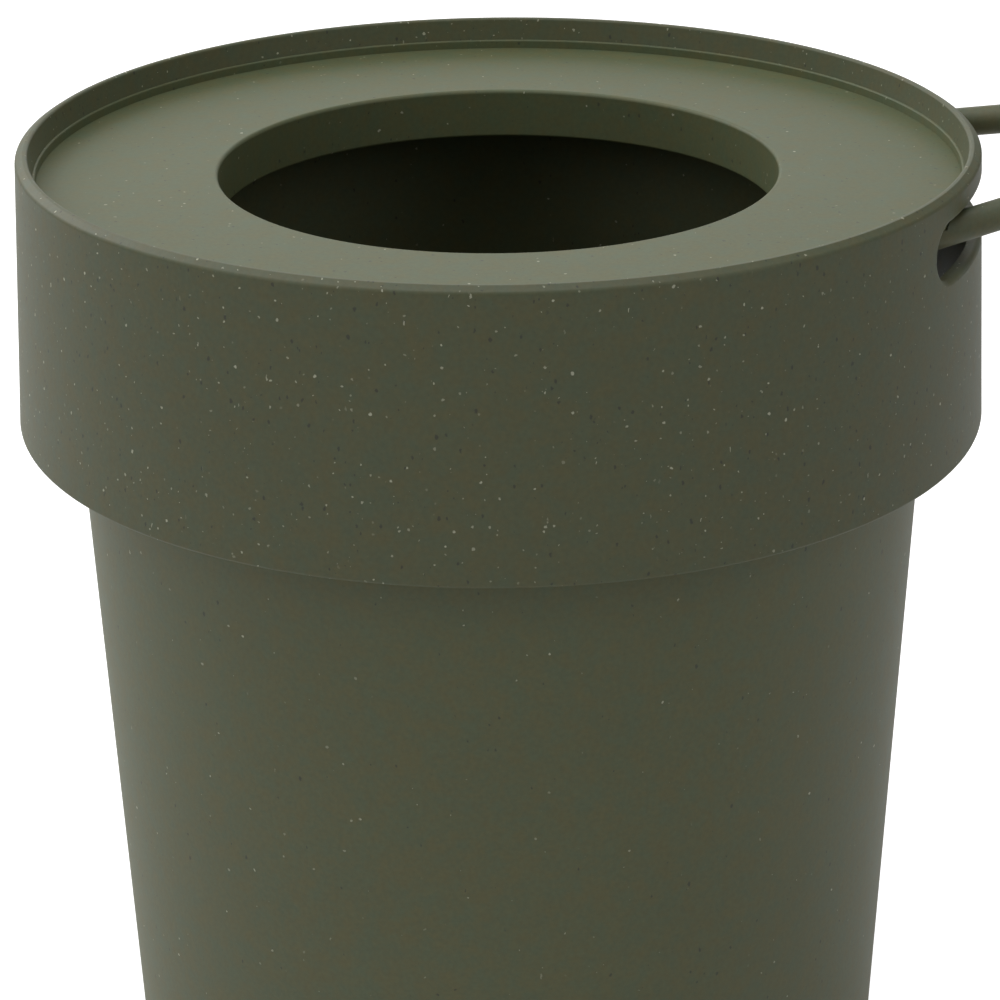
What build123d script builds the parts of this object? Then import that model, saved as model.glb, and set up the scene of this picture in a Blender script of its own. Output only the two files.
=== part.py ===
from build123d import *
import os
from math import cos, radians, sin, sqrt, tan

# Worktop waste bin: a tapered tub under a deep lid, whose recessed plate has a round drop hole.
# A loop handle turns on two trunnions under the plate and comes out through a slot in the lid.
# Millimetres, +Z up. The origin is on the standing surface, on the tub's axis, and the loop
# points to +X. Front is -Y, back is +Y.

# Overall
bin_height = 220.0  # standing surface to the top of the lid's rim
rim_radius = 95.0  # outside of the lid at its top

# Lid band: the rim and the deep skirt, one moulding
skirt_flare = 2.5  # outside of the rim to the outside of the bottom edge
skirt_depth = 55.3  # top of the rim to the bottom edge
band_wall = 2.4
rim_outer_rounding = 1.5
rim_inner_rounding = 0.6
ledge_depth = 0.8  # how far the wall over the plate leans in, down to the ledge that holds the plate
ledge_gap = 0.1  # ledge above the plate's lip
skirt_rounding = 0.6

# Lid plate: the recessed floor with the drop hole and its collar, pressed down under the band's ledge
recess_depth = 6.5  # top of the rim to the plate's upper face
plate_thickness = 2.0
plate_fit = 0.15  # radial gap between the plate and the band
lip_height = 1.8  # raised edge of the plate, above its upper face
lip_width = 1.1
lip_rounding = 0.12
lip_cove = 0.9  # hollow rounding from the lip's foot to the plate
hole_radius = 55.6
hole_rounding = 0.8
collar_height = 10.2  # plate's upper face to the collar's bottom edge
collar_wall = 2.4
collar_rounding = 0.5

# Ribs under the lid: a ring of evenly spaced ones, less the one that would stand in the slot
rib_count = 6
rib_thickness = 2.0
plate_rib_height = 4.0
seat_reach = 3.7  # how far a band rib reaches in past the outside of the tub's rim
seat_gap = 0.3  # band rib above the tub's rim
guide_gap = 0.5  # band rib beside the tub's wall
guide_depth = 16.0  # how far the guiding edge reaches below the tub's rim

# Loop handle and its hinge
loop_rod = 6.0
loop_raised = 10.4  # slope of the loop where it stands, in degrees above level
loop_lowered = -3.2  # slope at its lower stop
arm_splay = 19.9  # angle of each arm to the loop's middle line, in degrees
loop_tip_radius = 24.0
hinge_inset = 23.0  # outside of the rim to the hinge axis
hinge_half_width = 40.1  # middle plane to an arm's centre line, at the hinge
hub_radius = 3.3
hub_width = 7.0
hub_gap = 0.35  # hub below the plate
flat_gap = 0.3  # flats on the raised arms, below the plate
pin_radius = 2.2
pin_overhang = 0.5  # pin past the ear
pin_chamfer = 0.4
pin_fit = 0.05
bush_wall = 0.95
bush_fit = 0.05
ear_gap = 0.4  # hub to ear
ear_thickness = 4.4
ear_wall = 2.1
ear_wrap = 2.0  # how far the ear reaches below the hinge axis
ear_rounding = 1.2

# Slot in the band, for the loop
slot_play_over = 0.35  # above the raised arms
slot_play_under = 0.45  # below the lowered arms
slot_entry = 0.9  # beside each pin when the loop is passed in through the slot
slot_outer_rounding = 1.3
slot_inner_rounding = 0.3

# Tub
lid_overhang = 7.4  # outside of the tub's rim to the outside of the lid's rim
base_radius = 78.3  # outside of the tub at its base
tub_wall = 2.4
tub_floor = 2.8
base_rounding = 3.5
floor_rounding = 8.0
rim_clearance = 2.5  # hinge hubs to the tub's rim

# Anti-slip disc in the base
disc_margin = 18.3  # outside of the base to the disc's edge
disc_thickness = 1.5
disc_seat = 0.9  # depth of its recess in the base
disc_fit = 0.1
disc_rounding = 0.3
groove_count = 4
groove_first = 24.0  # radius of the innermost groove under the disc
groove_width = 1.6
groove_depth = 0.5

# Heights and radii that follow
lid_top = bin_height
plate_top = lid_top - recess_depth
plate_under = plate_top - plate_thickness
band_inner = rim_radius - band_wall
skirt_radius = rim_radius + skirt_flare
plate_radius = band_inner - plate_fit
ledge_height = plate_top + lip_height + ledge_gap
collar_radius = hole_radius + collar_wall
hinge_x = rim_radius - hinge_inset
hinge_z = plate_under - hub_gap - hub_radius
tub_top = hinge_z - hub_radius - rim_clearance
tub_radius = rim_radius - lid_overhang
tub_base = disc_thickness - disc_seat
disc_radius = base_radius - disc_margin
rib_angles = [360 / rib_count * step for step in range(1, rib_count)]

# Hinge across the lid: hub, ear and pin end, as distances from the middle plane
hub_outer = hinge_half_width + hub_width / 2
ear_inner = hub_outer + ear_gap
ear_outer = ear_inner + ear_thickness
pin_end = ear_outer + pin_overhang
bush_bore = pin_radius + pin_fit
bush_radius = bush_bore + bush_wall
ear_bore = bush_radius + bush_fit

# Slot: it clears the arms at both stops where they cross the band, and the pins on their way in
crossing_y = hinge_half_width - (rim_radius - hinge_x) * tan(radians(arm_splay))
crossing_reach = sqrt(rim_radius**2 - crossing_y**2) - hinge_x
rod_raised = loop_rod / 2 / cos(radians(loop_raised))
rod_lowered = loop_rod / 2 / cos(radians(loop_lowered))
slot_top = hinge_z + crossing_reach * tan(radians(loop_raised)) + rod_raised + slot_play_over
slot_bottom = hinge_z + crossing_reach * tan(radians(loop_lowered)) - rod_lowered - slot_play_under
slot_width = 2 * (pin_end + slot_entry)


def radial_plane(angle):
    """Upright plane through the axis: local x runs outwards at that angle, local y runs up."""
    outwards = (cos(radians(angle)), sin(radians(angle)), 0)
    across = (sin(radians(angle)), -cos(radians(angle)), 0)
    return Plane(origin=(0, 0, 0), x_dir=outwards, z_dir=across)


def circles_at(part, height):
    """Round edges of a part at one height, smallest first."""
    level = part.edges().filter_by(GeomType.CIRCLE).filter_by_position(Axis.Z, height - 0.01, height + 0.01)
    return level.sort_by(SortBy.RADIUS)


def axis_distance(point):
    """Distance of a point from the bin's axis."""
    return sqrt(point.X**2 + point.Y**2)


# Tub, a thin tapered cup with a recess under its base for the anti-slip disc
with BuildPart() as bin_body:
    with BuildSketch(Plane.XZ):
        with BuildLine():
            Polyline(
                (0, tub_base),
                (base_radius, tub_base),
                (tub_radius, tub_top),
                (tub_radius - tub_wall, tub_top),
                (base_radius - tub_wall, tub_base + tub_floor),
                (0, tub_base + tub_floor),
                close=True,
            )
        make_face()
    revolve(axis=Axis.Z)
    fillet(circles_at(bin_body, tub_base)[-1], radius=base_rounding)
    fillet(circles_at(bin_body, tub_base + tub_floor)[-1], radius=floor_rounding)
    fillet(circles_at(bin_body, tub_top), radius=tub_wall * 0.45)
    with BuildSketch(Plane.XY.offset(tub_base)):
        Circle(disc_radius + disc_fit)
    extrude(amount=disc_seat, mode=Mode.SUBTRACT)
bin_body.part.label = "bin_body"

# Anti-slip disc, bonded in the base's recess, with ring grooves in its underside
with BuildPart() as anti_slip_disc:
    with BuildSketch(Plane.XY):
        Circle(disc_radius)
    extrude(amount=disc_thickness)
    fillet(circles_at(anti_slip_disc, 0), radius=disc_rounding)
    groove_pitch = (disc_radius - groove_first) / groove_count
    with BuildSketch(Plane.XY):
        for step in reversed(range(groove_count)):
            groove_radius = groove_first + groove_pitch * step
            Circle(groove_radius + groove_width / 2)
            Circle(groove_radius - groove_width / 2, mode=Mode.SUBTRACT)
    extrude(amount=groove_depth, mode=Mode.SUBTRACT)
anti_slip_disc.part.label = "anti_slip_disc"

# Lid band, a rim and skirt with a rounded top edge, a ledge and ribs inside, and the loop's slot
with BuildPart() as lid_band:
    with BuildSketch(Plane.XZ):
        with BuildLine():
            Polyline(
                (rim_radius, lid_top),
                (skirt_radius, lid_top - skirt_depth),
                (skirt_radius - band_wall, lid_top - skirt_depth),
                (band_inner, plate_under),
                (band_inner, ledge_height),
                (band_inner - ledge_depth, ledge_height),
                (band_inner, lid_top),
                close=True,
            )
        make_face()
    revolve(axis=Axis.Z)
    fillet(circles_at(lid_band, lid_top)[-1], radius=rim_outer_rounding)
    fillet(circles_at(lid_band, lid_top)[0], radius=rim_inner_rounding)
    fillet(circles_at(lid_band, lid_top - skirt_depth), radius=skirt_rounding)

    # Slot for the loop, cut straight through the band towards +X
    with BuildSketch(Plane.YZ.offset(hinge_x)):
        with Locations((0, (slot_top + slot_bottom) / 2)):
            SlotOverall(slot_width, slot_top - slot_bottom)
    extrude(amount=skirt_radius, mode=Mode.SUBTRACT)
    slot_edges = lid_band.edges(Select.LAST).filter_by(GeomType.LINE, reverse=True)
    outer_edges = [edge for edge in slot_edges if axis_distance(edge @ 0.5) > rim_radius - band_wall / 2]
    inner_edges = [edge for edge in slot_edges if edge not in outer_edges]
    fillet(outer_edges, radius=slot_outer_rounding)
    fillet(inner_edges, radius=slot_inner_rounding)

    # Ribs: each carries the plate, rests on the tub's rim and guides the lid round the tub
    for angle in rib_angles:
        with BuildSketch(radial_plane(angle)):
            with BuildLine():
                Polyline(
                    (tub_radius - seat_reach, plate_under),
                    (band_inner + band_wall / 3, plate_under),
                    (band_inner + band_wall / 3, tub_top - guide_depth),
                    (tub_radius + guide_gap, tub_top - guide_depth),
                    (tub_radius + guide_gap, tub_top + seat_gap),
                    (tub_radius - seat_reach, tub_top + seat_gap),
                    close=True,
                )
            make_face()
        extrude(amount=rib_thickness / 2, both=True)
lid_band.part.label = "lid_band"

# Lid plate, with the drop hole's collar, stiffening ribs and two ears for the loop's hinge
with BuildPart() as lid_plate:
    with BuildSketch(Plane.XZ):
        with BuildLine():
            Polyline(
                (hole_radius, plate_top),
                (plate_radius - lip_width, plate_top),
                (plate_radius - lip_width, plate_top + lip_height),
                (plate_radius, plate_top + lip_height),
                (plate_radius, plate_under),
                (collar_radius, plate_under),
                (collar_radius, plate_top - collar_height),
                (hole_radius, plate_top - collar_height),
                close=True,
            )
        make_face()
    revolve(axis=Axis.Z)
    fillet(circles_at(lid_plate, plate_top)[0], radius=hole_rounding)
    fillet(circles_at(lid_plate, plate_top)[-1], radius=lip_cove)
    fillet(circles_at(lid_plate, plate_top + lip_height)[0], radius=lip_rounding)
    fillet(circles_at(lid_plate, plate_top - collar_height), radius=collar_rounding)

    # Stiffening ribs, from the collar out to the band's ribs
    for angle in rib_angles:
        with BuildSketch(radial_plane(angle)):
            with BuildLine():
                Polyline(
                    (collar_radius - collar_wall / 2, plate_under + plate_thickness / 2),
                    (tub_radius - seat_reach, plate_under + plate_thickness / 2),
                    (tub_radius - seat_reach, plate_under),
                    (tub_radius - seat_reach - plate_rib_height, plate_under - plate_rib_height),
                    (collar_radius - collar_wall / 2, plate_under - plate_rib_height),
                    close=True,
                )
            make_face()
        extrude(amount=rib_thickness / 2, both=True)

    # Ears, open at the bottom, that snap over the bushes on the loop's pins
    ear_half = ear_bore + ear_wall
    for start in (ear_inner, -ear_outer):
        with BuildSketch(Plane.XZ.offset(start)) as ear:
            with BuildLine():
                Polyline(
                    (hinge_x - ear_half, plate_under + plate_thickness / 2),
                    (hinge_x + ear_half, plate_under + plate_thickness / 2),
                    (hinge_x + ear_half, hinge_z - ear_wrap),
                    (hinge_x - ear_half, hinge_z - ear_wrap),
                    close=True,
                )
            make_face()
            fillet(ear.vertices().group_by(Axis.Z)[0], radius=ear_rounding)
            with Locations((hinge_x, hinge_z)):
                Circle(ear_bore, mode=Mode.SUBTRACT)
        extrude(amount=ear_thickness)
lid_plate.part.label = "lid_plate"

# Friction bushes, pressed on the loop's pins and held in the ears
friction_bushes = {}
for name, start in (("friction_bush_front", ear_inner), ("friction_bush_back", -ear_outer)):
    with BuildPart() as friction_bush:
        with BuildSketch(Plane.XZ.offset(start)):
            with Locations((hinge_x, hinge_z)):
                Circle(bush_radius)
                Circle(bush_bore, mode=Mode.SUBTRACT)
        extrude(amount=ear_thickness)
    friction_bush.part.label = name
    friction_bushes[name] = friction_bush.part

# Loop handle: a bent rod with a hub and a pin at each end, drawn where it stands raised
arm_angle = radians(arm_splay)
arms_meet = hinge_half_width / tan(arm_angle)
tip_centre = arms_meet - loop_tip_radius / sin(arm_angle)
touch = (tip_centre + loop_tip_radius * sin(arm_angle), loop_tip_radius * cos(arm_angle))
slope = radians(loop_raised)
loop_plane = Plane(
    origin=(hinge_x, 0, hinge_z),
    x_dir=(cos(slope), 0, sin(slope)),
    z_dir=(-sin(slope), 0, cos(slope)),
)
with BuildPart() as loop_handle:
    with BuildLine(loop_plane) as loop_path:
        Line((0, hinge_half_width), touch)
        ThreePointArc(touch, (tip_centre + loop_tip_radius, 0), (touch[0], -touch[1]))
        Line((touch[0], -touch[1]), (0, -hinge_half_width))
    with BuildSketch(Plane(origin=loop_path.line @ 0, z_dir=loop_path.line % 0)):
        Circle(loop_rod / 2)
    sweep()

    # Flats on the arms' tops, so that they pass under the plate and stop against it
    with BuildSketch(Plane.XY.offset(plate_under - flat_gap)):
        Circle(plate_radius + flat_gap)
    extrude(amount=recess_depth + plate_thickness, mode=Mode.SUBTRACT)

    # Hubs and pins on the hinge axis
    for side in (1, -1):
        with BuildSketch(Plane.XZ.offset(-side * (hinge_half_width - hub_width / 2))):
            with Locations((hinge_x, hinge_z)):
                Circle(hub_radius)
        extrude(amount=-side * hub_width)
        with BuildSketch(Plane.XZ.offset(-side * hub_outer)):
            with Locations((hinge_x, hinge_z)):
                Circle(pin_radius)
        extrude(amount=-side * (pin_end - hub_outer))
    pin_faces = loop_handle.faces().filter_by(Axis.Y).sort_by(Axis.Y)
    chamfer(pin_faces[0].edges() + pin_faces[-1].edges(), length=pin_chamfer)
loop_handle.part.label = "loop_handle"

os.makedirs("parts", exist_ok=True)
export_step(bin_body.part, "parts/bin_body.step")
export_step(anti_slip_disc.part, "parts/anti_slip_disc.step")
export_step(lid_band.part, "parts/lid_band.step")
export_step(lid_plate.part, "parts/lid_plate.step")
for name, bush in friction_bushes.items():
    export_step(bush, f"parts/{name}.step")
export_step(loop_handle.part, "parts/loop_handle.step")
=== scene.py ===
# Worktop waste bin of speckled green plastic, in a white studio. Metres, +Z up, the loop to +X.
# The camera stands in front, at -Y, and looks down on the lid.
from math import asin, atan, cos, degrees, pi, radians, sin, sqrt

import bmesh
import bpy
from mathutils import Matrix, Vector


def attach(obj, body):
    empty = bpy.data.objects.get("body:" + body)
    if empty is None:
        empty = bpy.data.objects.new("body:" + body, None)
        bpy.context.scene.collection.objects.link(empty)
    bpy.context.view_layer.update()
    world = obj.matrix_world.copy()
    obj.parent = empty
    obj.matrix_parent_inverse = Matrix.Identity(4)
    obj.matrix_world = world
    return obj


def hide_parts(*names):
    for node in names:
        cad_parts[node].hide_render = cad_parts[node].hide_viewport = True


# Colours, linear
GREEN_WARM = (0.132, 0.127, 0.061)
GREEN_COOL = (0.106, 0.128, 0.073)
FLECK_PALE = (0.56, 0.56, 0.42)
FLECK_DARK = (0.030, 0.031, 0.033)
RUBBER = (0.024, 0.025, 0.023)
RUBBER_WORN = (0.040, 0.041, 0.038)
FLOOR_WHITE = (0.80, 0.80, 0.80)

# Each moulding's tint, which is painted light and shade on one and the same plastic: it lifts the upward
# plate and the tub and darkens the front-facing band. Also the mean distances between its pale, sliver and
# dark flecks
MOULDING_LIT_TINTS_AND_FLECKS = {
    "speckled_tub": ((1.03, 1.04, 0.96), 0.0030, 0.0046, 0.0026),
    "speckled_band": ((0.925, 0.925, 0.895), 0.0016, 0.0030, 0.0016),
    "speckled_plate": ((1.015, 1.07, 0.945), 0.0025, 0.0046, 0.0020),
    "speckled_loop": ((1.0, 1.0, 1.0), 0.0022, 0.0040, 0.0026),
}
PALE_RADIUS = 0.00028
SLIVER_RADIUS = 0.00020
SLIVER_STRETCH = 3.2
SLIVER_TURNS = ((0.4, 1.1, 0.3), (1.9, 0.5, 2.4))
DARK_RADIUS = 0.00030
DARK_STRETCH = 1.6
DARK_TURN = (0.7, 0.2, 1.9)
DARK_STRENGTH = 0.60
SMALLEST_FLECK = 0.25
FLECK_EDGE = 0.35
RAGGED = 0.0006

# How much the plastic's tone varies within a millimetre and over centimetres
MOTTLE = 0.30
DRIFT = 0.10

# Camera, as it stood when the photograph was taken
CAMERA_PLACE = Vector((0.0, -0.61697, 0.39787))
CAMERA_PITCH = radians(22.584)
CAMERA_YAW = 0.0006
CAMERA_ROLL = -0.0110
FOCAL_PIXELS = 3219.0
PHOTO_PIXELS = 1000
SENSOR = 36.0

# Softboxes: azimuth (0 is +X, 90 is +Y), elevation, distance, width and watts
AIM = Vector((0.0, 0.0, 0.19))
SOFTBOXES = {
    "top": (90, 88, 1.30, 1.2, 6.5),
    "top_left": (180, 60, 1.40, 0.9, 2.3),
    "back": (90, 15, 1.60, 1.2, 4.7),
    "left_back": (140, 30, 1.40, 0.9, 7.1),
    "left": (175, 25, 1.40, 0.9, 0.5),
    "front_left": (-140, 30, 1.60, 0.9, 3.2),
    "front_right": (-40, 30, 1.60, 0.9, 2.4),
}
AMBIENT = 0.10
WALL_GLOSS = 0.19
FLOOR_GLOW = 0.78
FLOOR_GLOSS = 0.27
FLOOR_SIZE = 8.0

# Lid, in millimetres: the band's heights, radii and wall
BAND_TOP = 220.0
BAND_FOOT = 164.7
BAND_RADIUS = 95.0
BAND_FLARE = 2.5
BAND_WALL = 2.4
BAND_STEP = 211.5
RIM_BEVEL_START = 93.45
RIM_BEVEL_SLOPE = 33.0
RIM_BEVEL_ROUND = 0.3
RIM_BEVEL_FOOT = 218.4
RIM_OUTER_ROUND = 1.0
RIM_INNER_ROUND = 0.6
WALL_LEAN = 3.0
FOOT_ROUND = 0.6
LEDGE_INSIDE = 91.8
LEDGE_HEIGHT = 215.3
LEDGE_FACE = 1.6

# The slot with its full-round ends
SLOT_TOP = 214.467
SLOT_FOOT = 203.415
SLOT_HALF_WIDTH = 49.8
SLOT_OUTER_ROUND = 1.3
SLOT_INNER_ROUND = 0.3
SLOT_FLARE = 82.0
SLOT_REACH = (60.0, 110.0)

# The plate, its lip and collar
PLATE_TOP = 213.5
PLATE_UNDER = 211.5
PLATE_EDGE = 92.45
LIP_INSIDE = 91.35
LIP_TOP = 215.3
LIP_ROUND = 0.38
HOLE_RADIUS = 55.6
HOLE_ROUND = 0.8
COLLAR_RADIUS = 58.0
COLLAR_FOOT = 203.3
COLLAR_ROUND = 0.5
LID_COLUMNS = 480
SHARP_ANGLE = 32.0

# Ribs under the lid, and the ears of the hinge at their two distances from the middle
RIB_ANGLES = (60, 120, 180, 240, 300)
RIB_SIDES = (-1.0, 1.0)
BAND_RIB = ((83.9, 211.5), (93.4, 211.5), (93.4, 186.05), (88.1, 186.05), (88.1, 202.35), (83.9, 202.35))
PLATE_RIB = ((56.8, 212.5), (83.9, 212.5), (83.9, 211.5), (79.9, 207.5), (56.8, 207.5))
HINGE = (72.0, 207.85)
EAR_BORE = 3.25
EAR_HALF = 5.35
EAR_FOOT = 205.85
EAR_ROUND = 1.2
EAR_SIDES = ((44.0, 48.4), (-48.4, -44.0))


def add(tree, kind, settings=None, **sockets):
    """A new node. settings are its own properties, sockets are values or other nodes' outputs."""
    made = tree.nodes.new(kind)
    for name, value in (settings or {}).items():
        setattr(made, name, value)
    for name, value in sockets.items():
        socket = made.inputs[name.replace("_", " ")]
        if isinstance(value, bpy.types.NodeSocket):
            tree.links.new(value, socket)
        elif socket.type == "RGBA":
            socket.default_value = (*value, 1.0)
        else:
            socket.default_value = value
    return made


def maths(tree, operation, first, second=0.0, clamp=False):
    """The output of a Math node on two values or sockets."""
    made = tree.nodes.new("ShaderNodeMath")
    made.operation = operation
    made.use_clamp = clamp
    for socket, value in zip(made.inputs, (first, second)):
        if isinstance(value, bpy.types.NodeSocket):
            tree.links.new(value, socket)
        else:
            socket.default_value = value
    return made.outputs[0]


def blend_colours(tree, share, first, second, mode="MIX"):
    """The colour between two colours or sockets at that share."""
    made = tree.nodes.new("ShaderNodeMix")
    made.data_type = "RGBA"
    made.blend_type = mode
    for socket, value in ((made.inputs[0], share), (made.inputs[6], first), (made.inputs[7], second)):
        if isinstance(value, bpy.types.NodeSocket):
            tree.links.new(value, socket)
        elif socket.type == "RGBA":
            socket.default_value = (*value, 1.0)
        else:
            socket.default_value = value
    return made.outputs[2]


def flecks(tree, coords, spacing, radius, stretch=1.0, turn=(0.0, 0.0, 0.0)):
    """Scattered flecks of uneven size. Returns their mask and a number that differs from fleck to fleck."""
    placed = add(
        tree, "ShaderNodeMapping", Vector=coords, Rotation=turn, Scale=(1.0, 1.0, 1.0 / stretch)
    ).outputs["Vector"]
    cells = add(tree, "ShaderNodeTexVoronoi", {"voronoi_dimensions": "3D"}, Vector=placed, Scale=1 / spacing)
    chance = add(tree, "ShaderNodeSeparateColor", Color=cells.outputs["Color"])
    size = maths(tree, "MULTIPLY", chance.outputs["Red"], chance.outputs["Red"])
    limit = maths(tree, "MULTIPLY", maths(tree, "ADD", size, SMALLEST_FLECK), radius / spacing)
    inside = maths(tree, "SUBTRACT", limit, cells.outputs["Distance"])
    edge = maths(tree, "MULTIPLY", limit, FLECK_EDGE)
    return maths(tree, "DIVIDE", inside, edge, clamp=True), chance.outputs["Green"]


def new_material(name):
    """An empty node material and its Principled shader."""
    material = bpy.data.materials.new(name)
    material.use_nodes = True
    tree = material.node_tree
    tree.nodes.clear()
    shader = tree.nodes.new("ShaderNodeBsdfPrincipled")
    output = tree.nodes.new("ShaderNodeOutputMaterial")
    tree.links.new(shader.outputs["BSDF"], output.inputs["Surface"])
    return material, tree, shader


def speckled_plastic(name):
    """Moulded green plastic with faint clouding, pale and dark flecks, a fine satin grain, and a per-piece
    tint of painted light and shade.
    """
    material, tree, shader = new_material(name)
    coords = add(tree, "ShaderNodeTexCoord").outputs["Object"]

    cloud = add(tree, "ShaderNodeTexNoise", Vector=coords, Scale=240.0, Detail=5.0, Roughness=0.72)
    drift = add(tree, "ShaderNodeTexNoise", Vector=coords, Scale=22.0, Detail=2.0, Roughness=0.5)
    mottle = add(tree, "ShaderNodeTexNoise", Vector=coords, Scale=1100.0, Detail=2.0, Roughness=0.55)
    share = add(tree, "ShaderNodeMapRange", Value=cloud.outputs["Fac"], From_Min=0.36, From_Max=0.64)
    colour = blend_colours(tree, share.outputs["Result"], GREEN_COOL, GREEN_WARM)
    level = maths(tree, "MULTIPLY_ADD", drift.outputs["Fac"], DRIFT)
    level.node.inputs[2].default_value = 1.0 - DRIFT / 2 - MOTTLE / 2
    level = maths(tree, "ADD", level, maths(tree, "MULTIPLY", mottle.outputs["Fac"], MOTTLE))
    painted_light_tint, pale_spacing, sliver_spacing, dark_spacing = MOULDING_LIT_TINTS_AND_FLECKS[name]
    # The tint is painted light and shade: lighter on the plate and tub, darker on the band.
    colour = blend_colours(tree, 1.0, colour, painted_light_tint, "MULTIPLY")
    shaded = add(tree, "ShaderNodeVectorMath", {"operation": "SCALE"}, Vector=colour, Scale=level)
    colour = shaded.outputs["Vector"]

    ragged = add(tree, "ShaderNodeTexNoise", Vector=coords, Scale=1600.0, Detail=1.0, Roughness=0.5)
    moved = add(
        tree, "ShaderNodeVectorMath", {"operation": "SCALE"}, Vector=ragged.outputs["Color"], Scale=RAGGED
    )
    frayed = add(tree, "ShaderNodeVectorMath", {"operation": "ADD"}, Vector=coords)
    tree.links.new(moved.outputs["Vector"], frayed.inputs[1])
    frayed = frayed.outputs["Vector"]
    dark, _ = flecks(tree, frayed, dark_spacing, DARK_RADIUS, DARK_STRETCH, DARK_TURN)
    colour = blend_colours(tree, maths(tree, "MULTIPLY", dark, DARK_STRENGTH), colour, FLECK_DARK)
    pale, shine = flecks(tree, frayed, pale_spacing, PALE_RADIUS)
    colour = blend_colours(tree, maths(tree, "MULTIPLY", pale, shine), colour, FLECK_PALE)
    for turn in SLIVER_TURNS:
        sliver, shine = flecks(tree, frayed, sliver_spacing, SLIVER_RADIUS, SLIVER_STRETCH, turn)
        colour = blend_colours(tree, maths(tree, "MULTIPLY", sliver, shine), colour, FLECK_PALE)
    tree.links.new(colour, shader.inputs["Base Color"])

    grain = add(tree, "ShaderNodeTexNoise", Vector=coords, Scale=2200.0, Detail=2.0, Roughness=0.6)
    sheen = maths(tree, "MULTIPLY_ADD", cloud.outputs["Fac"], 0.10)
    sheen.node.inputs[2].default_value = 0.47
    tree.links.new(sheen, shader.inputs["Roughness"])
    bump = add(tree, "ShaderNodeBump", Height=grain.outputs["Fac"], Strength=0.25, Distance=0.00003)
    tree.links.new(bump.outputs["Normal"], shader.inputs["Normal"])
    shader.inputs["IOR"].default_value = 1.46
    return material


def soft_rubber(name):
    """Dark rubber, dull, with a fine pitted grain and paler worn patches."""
    material, tree, shader = new_material(name)
    coords = add(tree, "ShaderNodeTexCoord").outputs["Object"]
    wear = add(tree, "ShaderNodeTexNoise", Vector=coords, Scale=45.0, Detail=5.0, Roughness=0.65)
    share = add(tree, "ShaderNodeMapRange", Value=wear.outputs["Fac"], From_Min=0.42, From_Max=0.72)
    colour = blend_colours(tree, share.outputs["Result"], RUBBER, RUBBER_WORN)
    tree.links.new(colour, shader.inputs["Base Color"])
    rough = maths(tree, "MULTIPLY_ADD", wear.outputs["Fac"], 0.18)
    rough.node.inputs[2].default_value = 0.66
    tree.links.new(rough, shader.inputs["Roughness"])
    pits = add(tree, "ShaderNodeTexNoise", Vector=coords, Scale=1500.0, Detail=3.0, Roughness=0.6)
    bump = add(tree, "ShaderNodeBump", Height=pits.outputs["Fac"], Strength=0.5, Distance=0.00006)
    tree.links.new(bump.outputs["Normal"], shader.inputs["Normal"])
    return material


def background_share(tree):
    """Two sockets: 1 for rays from the camera, and 1 for rays off gloss or through glass."""
    rays = tree.nodes.new("ShaderNodeLightPath")
    mirror = maths(
        tree, "MAXIMUM", rays.outputs["Is Glossy Ray"], rays.outputs["Is Transmission Ray"]
    )
    return rays.outputs["Is Camera Ray"], mirror


def outer_radius(height):
    """Outside of the band at a height, in millimetres."""
    return BAND_RADIUS + BAND_FLARE * (BAND_TOP - height) / (BAND_TOP - BAND_FOOT)


def inner_radius(height):
    """Inside of the band at a height: upright above the plate, flared below it."""
    if height >= BAND_STEP:
        return BAND_RADIUS - BAND_WALL
    return BAND_RADIUS - BAND_WALL + BAND_FLARE * (BAND_STEP - height) / (BAND_STEP - BAND_FOOT)


def arc(centre, radius, start, end, steps):
    """Points on an arc around a centre, from one angle in degrees to another."""
    turns = [radians(start + (end - start) * step / steps) for step in range(steps + 1)]
    return [(centre[0] + radius * cos(turn), centre[1] + radius * sin(turn)) for turn in turns]


def mesh_object(name, points, faces):
    """An object from points in millimetres."""
    mesh = bpy.data.meshes.new(name)
    mesh.from_pydata([tuple(value / 1000 for value in point) for point in points], [], faces)
    made = bpy.data.objects.new(name, mesh)
    bpy.context.scene.collection.objects.link(made)
    return made


def lathed(profile, segments):
    """Points and faces of a ring with that closed profile of (radius, height) points."""
    points, faces, count = [], [], len(profile)
    for column in range(segments):
        turn = 2 * pi * column / segments
        points += [(radius * cos(turn), radius * sin(turn), height) for radius, height in profile]
        following = (column + 1) % segments
        for row in range(count):
            after = (row + 1) % count
            here, there = column * count, following * count
            faces.append((here + row, there + row, there + after, here + after))
    return points, faces


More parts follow.
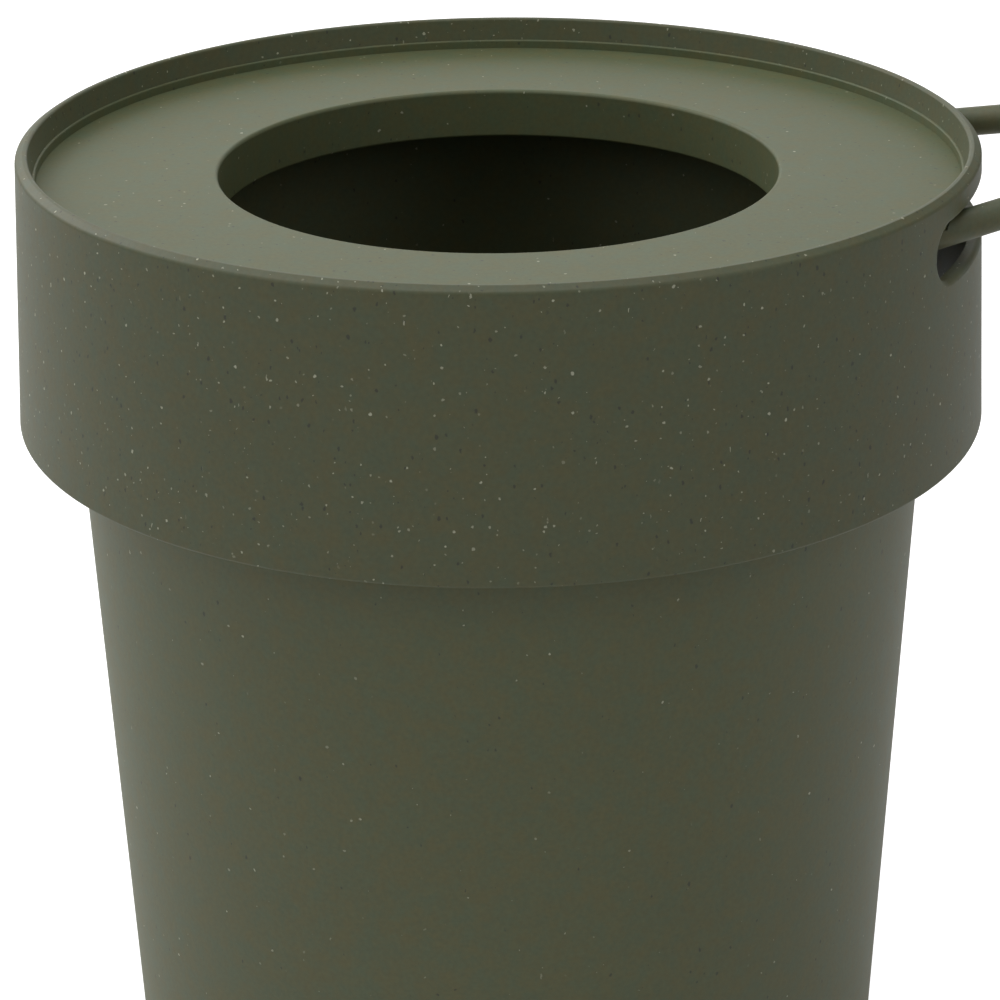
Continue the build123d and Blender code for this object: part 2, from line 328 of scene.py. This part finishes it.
def band_profile():
    """Section of the band's wall, anticlockwise from its inner foot."""
    inner_foot = inner_radius(BAND_FOOT)
    outer_foot = outer_radius(BAND_FOOT)
    profile = arc((inner_foot + FOOT_ROUND, BAND_FOOT + FOOT_ROUND), FOOT_ROUND, 180, 270, 6)
    profile += arc((outer_foot - FOOT_ROUND, BAND_FOOT + FOOT_ROUND), FOOT_ROUND, 270, 360, 6)
    heights = (175.0, 185.0, 195.0, 202.0, 209.0, 216.0)
    profile += [(outer_radius(height), height) for height in heights]
    rise, steep = 90 - RIM_BEVEL_SLOPE, radians(90 - RIM_BEVEL_SLOPE)
    inner = (RIM_BEVEL_START, BAND_TOP - RIM_BEVEL_ROUND)
    outer = outer_radius(RIM_BEVEL_FOOT) - RIM_OUTER_ROUND
    more = RIM_OUTER_ROUND - RIM_BEVEL_ROUND
    drop = (outer - inner[0] + more * cos(steep)) / sin(steep) * cos(steep)
    profile += arc((outer, inner[1] - drop - more * sin(steep)), RIM_OUTER_ROUND, WALL_LEAN, rise, 8)
    profile += arc(inner, RIM_BEVEL_ROUND, rise, 90, 6)
    slope = (inner_radius(BAND_TOP) - LEDGE_INSIDE) / (BAND_TOP - LEDGE_HEIGHT)
    inner_corner = (
        inner_radius(BAND_TOP) + RIM_INNER_ROUND * (sqrt(1 + slope**2) - slope),
        BAND_TOP - RIM_INNER_ROUND,
    )
    profile += arc(inner_corner, RIM_INNER_ROUND, 90, 180 - degrees(atan(slope)), 8)
    profile += [(LEDGE_INSIDE + slope * LEDGE_FACE, LEDGE_HEIGHT + LEDGE_FACE)]
    profile += [(LEDGE_INSIDE, LEDGE_HEIGHT), (inner_radius(BAND_STEP), LEDGE_HEIGHT)]
    profile += [(inner_radius(height), height) for height in (BAND_STEP, 202.0, 185.0)]
    return profile


def slot_outline(steps):
    """Points of the slot's outline, each as across, height and its outward direction."""
    middle = (SLOT_TOP + SLOT_FOOT) / 2
    half = (SLOT_TOP - SLOT_FOOT) / 2
    run = SLOT_HALF_WIDTH - half
    outline = []
    for side, start in ((1, -90), (-1, 90)):
        for step in range(steps + 1):
            turn = radians(start + 180 * step / steps)
            outline.append((side * run + half * cos(turn), middle + half * sin(turn), cos(turn), sin(turn)))
        for share in (0.02, 0.06, *[0.12 + 0.76 * step / 36 for step in range(37)], 0.94, 0.98):
            outline.append((side * run * (1 - 2 * share), middle + side * half, 0.0, float(side)))
    return outline


def slot_cutter():
    """A bar that cuts the slot, with a flare at each wall for the rounded edges."""
    outline = slot_outline(24)
    widest = 1 - cos(radians(SLOT_FLARE))
    rings = [(None, SLOT_REACH[0], SLOT_INNER_ROUND * widest)]
    for step in range(5):
        turn = radians(SLOT_FLARE - SLOT_FLARE * step / 4)
        rings.append((inner_radius, SLOT_INNER_ROUND * (1 - sin(turn)), SLOT_INNER_ROUND * (1 - cos(turn))))
    for step in range(11):
        turn = radians(SLOT_FLARE * step / 10)
        rings.append((outer_radius, -SLOT_OUTER_ROUND * (1 - sin(turn)), SLOT_OUTER_ROUND * (1 - cos(turn))))
    rings.append((None, SLOT_REACH[1], SLOT_OUTER_ROUND * widest))
    points = []
    for wall, shift, spread in rings:
        for across, height, side, rise in outline:
            across, height = across + side * spread, height + rise * spread
            along = shift if wall is None else sqrt(wall(height) ** 2 - across**2) + shift
            points.append((along, across, height))
    count = len(outline)
    faces = [tuple(reversed(range(count))), tuple(range((len(rings) - 1) * count, len(rings) * count))]
    for ring in range(len(rings) - 1):
        for place in range(count):
            after = (place + 1) % count
            low, high = ring * count, (ring + 1) * count
            faces.append((low + place, low + after, high + after, high + place))
    return mesh_object("slot_cutter", points, faces)


def rib_place(angle):
    """Places a section's (radius, height) point at a side of an upright plane through the axis."""
    turn = radians(angle)
    return lambda radius, height, side: (
        radius * cos(turn) - side * sin(turn),
        radius * sin(turn) + side * cos(turn),
        height,
    )


def add_slab(built, section, place, sides):
    """Adds a flat block to a mesh: its section stands at both sides."""
    loops = []
    for side in sides:
        points = [Vector(place(along, height, side)) / 1000 for along, height in section]
        loops.append([built.verts.new(point) for point in points])
    faces = [built.faces.new(loops[0]), built.faces.new(list(reversed(loops[1])))]
    for row in range(len(section)):
        after = (row + 1) % len(section)
        faces.append(built.faces.new((loops[0][after], loops[0][row], loops[1][row], loops[1][after])))
    bmesh.ops.recalc_face_normals(built, faces=faces)


def finished(name, built, material):
    """An evenly shaded object from a mesh under construction."""
    mesh = bpy.data.meshes.new(name)
    built.to_mesh(mesh)
    built.free()
    mesh.shade_smooth()
    mesh.set_sharp_from_angle(angle=radians(SHARP_ANGLE))
    mesh.materials.clear()
    mesh.materials.append(material)
    made = bpy.data.objects.new(name, mesh)
    bpy.context.scene.collection.objects.link(made)
    even = made.modifiers.new("even_shading", "WEIGHTED_NORMAL")
    even.keep_sharp = True
    return made


def lid_band(material):
    """The lid's rim and skirt as a finely turned ring, with the loop's slot cut through."""
    ring = mesh_object("band_ring", *lathed(band_profile(), LID_COLUMNS))
    cutter = slot_cutter()
    cut = ring.modifiers.new("slot", "BOOLEAN")
    cut.operation = "DIFFERENCE"
    cut.solver = "EXACT"
    cut.object = cutter
    bpy.context.view_layer.update()
    shaped = bpy.data.meshes.new_from_object(ring.evaluated_get(bpy.context.evaluated_depsgraph_get()))
    for spare in (ring, cutter):
        bpy.data.objects.remove(spare, do_unlink=True)
    built = bmesh.new()
    built.from_mesh(shaped)
    bpy.data.meshes.remove(shaped)
    for angle in RIB_ANGLES:
        add_slab(built, BAND_RIB, rib_place(angle), RIB_SIDES)
    return finished("lid_band_turned", built, material)


def plate_profile():
    """Section of the plate, anticlockwise from the collar's inner foot."""
    foot = COLLAR_FOOT + COLLAR_ROUND
    profile = arc((HOLE_RADIUS + COLLAR_ROUND, foot), COLLAR_ROUND, 180, 270, 6)
    profile += arc((COLLAR_RADIUS - COLLAR_ROUND, foot), COLLAR_ROUND, 270, 360, 6)
    profile += [(COLLAR_RADIUS, PLATE_UNDER), (75.0, PLATE_UNDER), (PLATE_EDGE, PLATE_UNDER)]
    profile += [(PLATE_EDGE, LIP_TOP), (LEDGE_INSIDE + 0.1, LIP_TOP)]
    profile += arc((LIP_INSIDE + LIP_ROUND, LIP_TOP - LIP_ROUND), LIP_ROUND, 90, 180, 8)
    profile += [(radius, PLATE_TOP) for radius in (LIP_INSIDE, 88.0, 82.0, 74.0, 66.0, 60.0)]
    profile += arc((HOLE_RADIUS + HOLE_ROUND, PLATE_TOP - HOLE_ROUND), HOLE_ROUND, 90, 180, 8)
    profile += [(HOLE_RADIUS, 209.0)]
    return profile


def ear_section():
    """Outline of a hinge ear, open at the bottom for the bush that snaps in."""
    along, height = HINGE
    left, right = along - EAR_HALF, along + EAR_HALF
    gap = degrees(asin((height - EAR_FOOT) / EAR_BORE))
    section = [(left, PLATE_UNDER + 1.0)]
    section += arc((left + EAR_ROUND, EAR_FOOT + EAR_ROUND), EAR_ROUND, 180, 270, 6)
    section += arc(HINGE, EAR_BORE, 180 + gap, -gap, 28)
    section += arc((right - EAR_ROUND, EAR_FOOT + EAR_ROUND), EAR_ROUND, 270, 360, 6)
    section += [(right, PLATE_UNDER + 1.0)]
    return section


def lid_plate(material):
    """The recessed plate as a finely turned ring, with its ribs and ears."""
    points, faces = lathed(plate_profile(), LID_COLUMNS)
    built = bmesh.new()
    corners = [built.verts.new(Vector(point) / 1000) for point in points]
    for face in faces:
        built.faces.new([corners[corner] for corner in face])
    for angle in RIB_ANGLES:
        add_slab(built, PLATE_RIB, rib_place(angle), RIB_SIDES)
    for sides in EAR_SIDES:
        add_slab(built, ear_section(), lambda along, height, side: (along, side, height), sides)
    return finished("lid_plate_turned", built, material)


def studio_floor():
    """A white floor that reads as the picture's background and keeps the bin's shadow."""
    half = FLOOR_SIZE / 2
    mesh = bpy.data.meshes.new("studio_floor")
    corners = [(-half, -half, 0), (half, -half, 0), (half, half, 0), (-half, half, 0)]
    mesh.from_pydata(corners, [], [(0, 1, 2, 3)])
    floor = bpy.data.objects.new("studio_floor", mesh)
    bpy.context.scene.collection.objects.link(floor)

    material, tree, shader = new_material("studio_floor")
    shader.inputs["Base Color"].default_value = (*FLOOR_WHITE, 1.0)
    shader.inputs["Roughness"].default_value = 0.9
    shader.inputs["Specular IOR Level"].default_value = 0.0
    camera_ray, mirror_ray = background_share(tree)
    shader.inputs["Emission Color"].default_value = (1.0, 1.0, 1.0, 1.0)
    seen = maths(tree, "MULTIPLY", camera_ray, FLOOR_GLOW)
    glow = maths(tree, "ADD", seen, maths(tree, "MULTIPLY", mirror_ray, FLOOR_GLOSS))
    tree.links.new(glow, shader.inputs["Emission Strength"])
    floor.data.materials.append(material)
    return floor


def studio_world():
    """A white room: full white to the camera, dimmer as light."""
    world = bpy.data.worlds.new("studio")
    world.use_nodes = True
    tree = world.node_tree
    tree.nodes.clear()
    camera_ray, mirror_ray = background_share(tree)
    glow = maths(tree, "MULTIPLY", camera_ray, 1.0 - AMBIENT)
    glow = maths(tree, "ADD", glow, maths(tree, "MULTIPLY", mirror_ray, WALL_GLOSS))
    glow = maths(tree, "ADD", glow, AMBIENT)
    sky = add(tree, "ShaderNodeBackground", Color=(1.0, 1.0, 1.0), Strength=glow)
    output = tree.nodes.new("ShaderNodeOutputWorld")
    tree.links.new(sky.outputs["Background"], output.inputs["Surface"])
    bpy.context.scene.world = world


def softbox(name, azimuth, elevation, distance, width, watts):
    """A square area light that faces the bin."""
    light = bpy.data.lights.new("softbox_" + name, "AREA")
    light.shape = "SQUARE"
    light.size = width
    light.energy = watts
    lamp = bpy.data.objects.new("softbox_" + name, light)
    bpy.context.scene.collection.objects.link(lamp)
    turn, rise = radians(azimuth), radians(elevation)
    outwards = Vector((cos(turn) * cos(rise), sin(turn) * cos(rise), sin(rise)))
    lamp.location = AIM + outwards * distance
    lamp.rotation_euler = outwards.to_track_quat("Z", "Y").to_euler()


def photo_camera():
    """The camera of the photograph."""
    data = bpy.data.cameras.new("photo_camera")
    data.sensor_width = SENSOR
    data.lens = FOCAL_PIXELS / PHOTO_PIXELS * SENSOR
    data.clip_start = 0.02
    camera = bpy.data.objects.new("photo_camera", data)
    bpy.context.scene.collection.objects.link(camera)
    right = Vector((1.0, 0.0, 0.0))
    up = Vector((0.0, sin(CAMERA_PITCH), cos(CAMERA_PITCH)))
    back = Vector((0.0, -cos(CAMERA_PITCH), sin(CAMERA_PITCH)))
    x_axis = cos(CAMERA_ROLL) * right + sin(CAMERA_ROLL) * up
    y_axis = cos(CAMERA_ROLL) * up - sin(CAMERA_ROLL) * right
    turn = Matrix.Rotation(CAMERA_YAW, 4, "Z") @ Matrix((x_axis, y_axis, back)).transposed().to_4x4()
    camera.matrix_world = Matrix.Translation(CAMERA_PLACE) @ turn
    bpy.context.scene.camera = camera


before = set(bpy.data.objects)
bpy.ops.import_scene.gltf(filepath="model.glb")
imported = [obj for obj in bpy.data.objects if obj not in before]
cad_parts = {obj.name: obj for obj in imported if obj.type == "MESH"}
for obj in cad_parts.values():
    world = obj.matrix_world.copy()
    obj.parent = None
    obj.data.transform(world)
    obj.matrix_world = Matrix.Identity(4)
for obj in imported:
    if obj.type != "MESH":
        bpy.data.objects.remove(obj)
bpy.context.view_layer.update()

# Materials, one for each finish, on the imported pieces
finishes = {
    "bin_body": speckled_plastic("speckled_tub"),
    "lid_band": speckled_plastic("speckled_band"),
    "lid_plate": speckled_plastic("speckled_plate"),
    "loop_handle": speckled_plastic("speckled_loop"),
    "anti_slip_disc": soft_rubber("disc_rubber"),
    "friction_bush_front": soft_rubber("bush_rubber"),
}
finishes["friction_bush_back"] = finishes["friction_bush_front"]
for name, material in finishes.items():
    for material_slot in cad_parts[name].material_slots:
        material_slot.material = material

# Finely turned stand-ins for the lid's two mouldings
for name, turned in (("lid_band", lid_band), ("lid_plate", lid_plate)):
    piece = turned(finishes[name])
    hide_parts(name)
    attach(piece, "lid")

studio_floor()
studio_world()
for name, settings in SOFTBOXES.items():
    softbox(name, *settings)
photo_camera()
bpy.context.scene.view_settings.view_transform = "Standard"
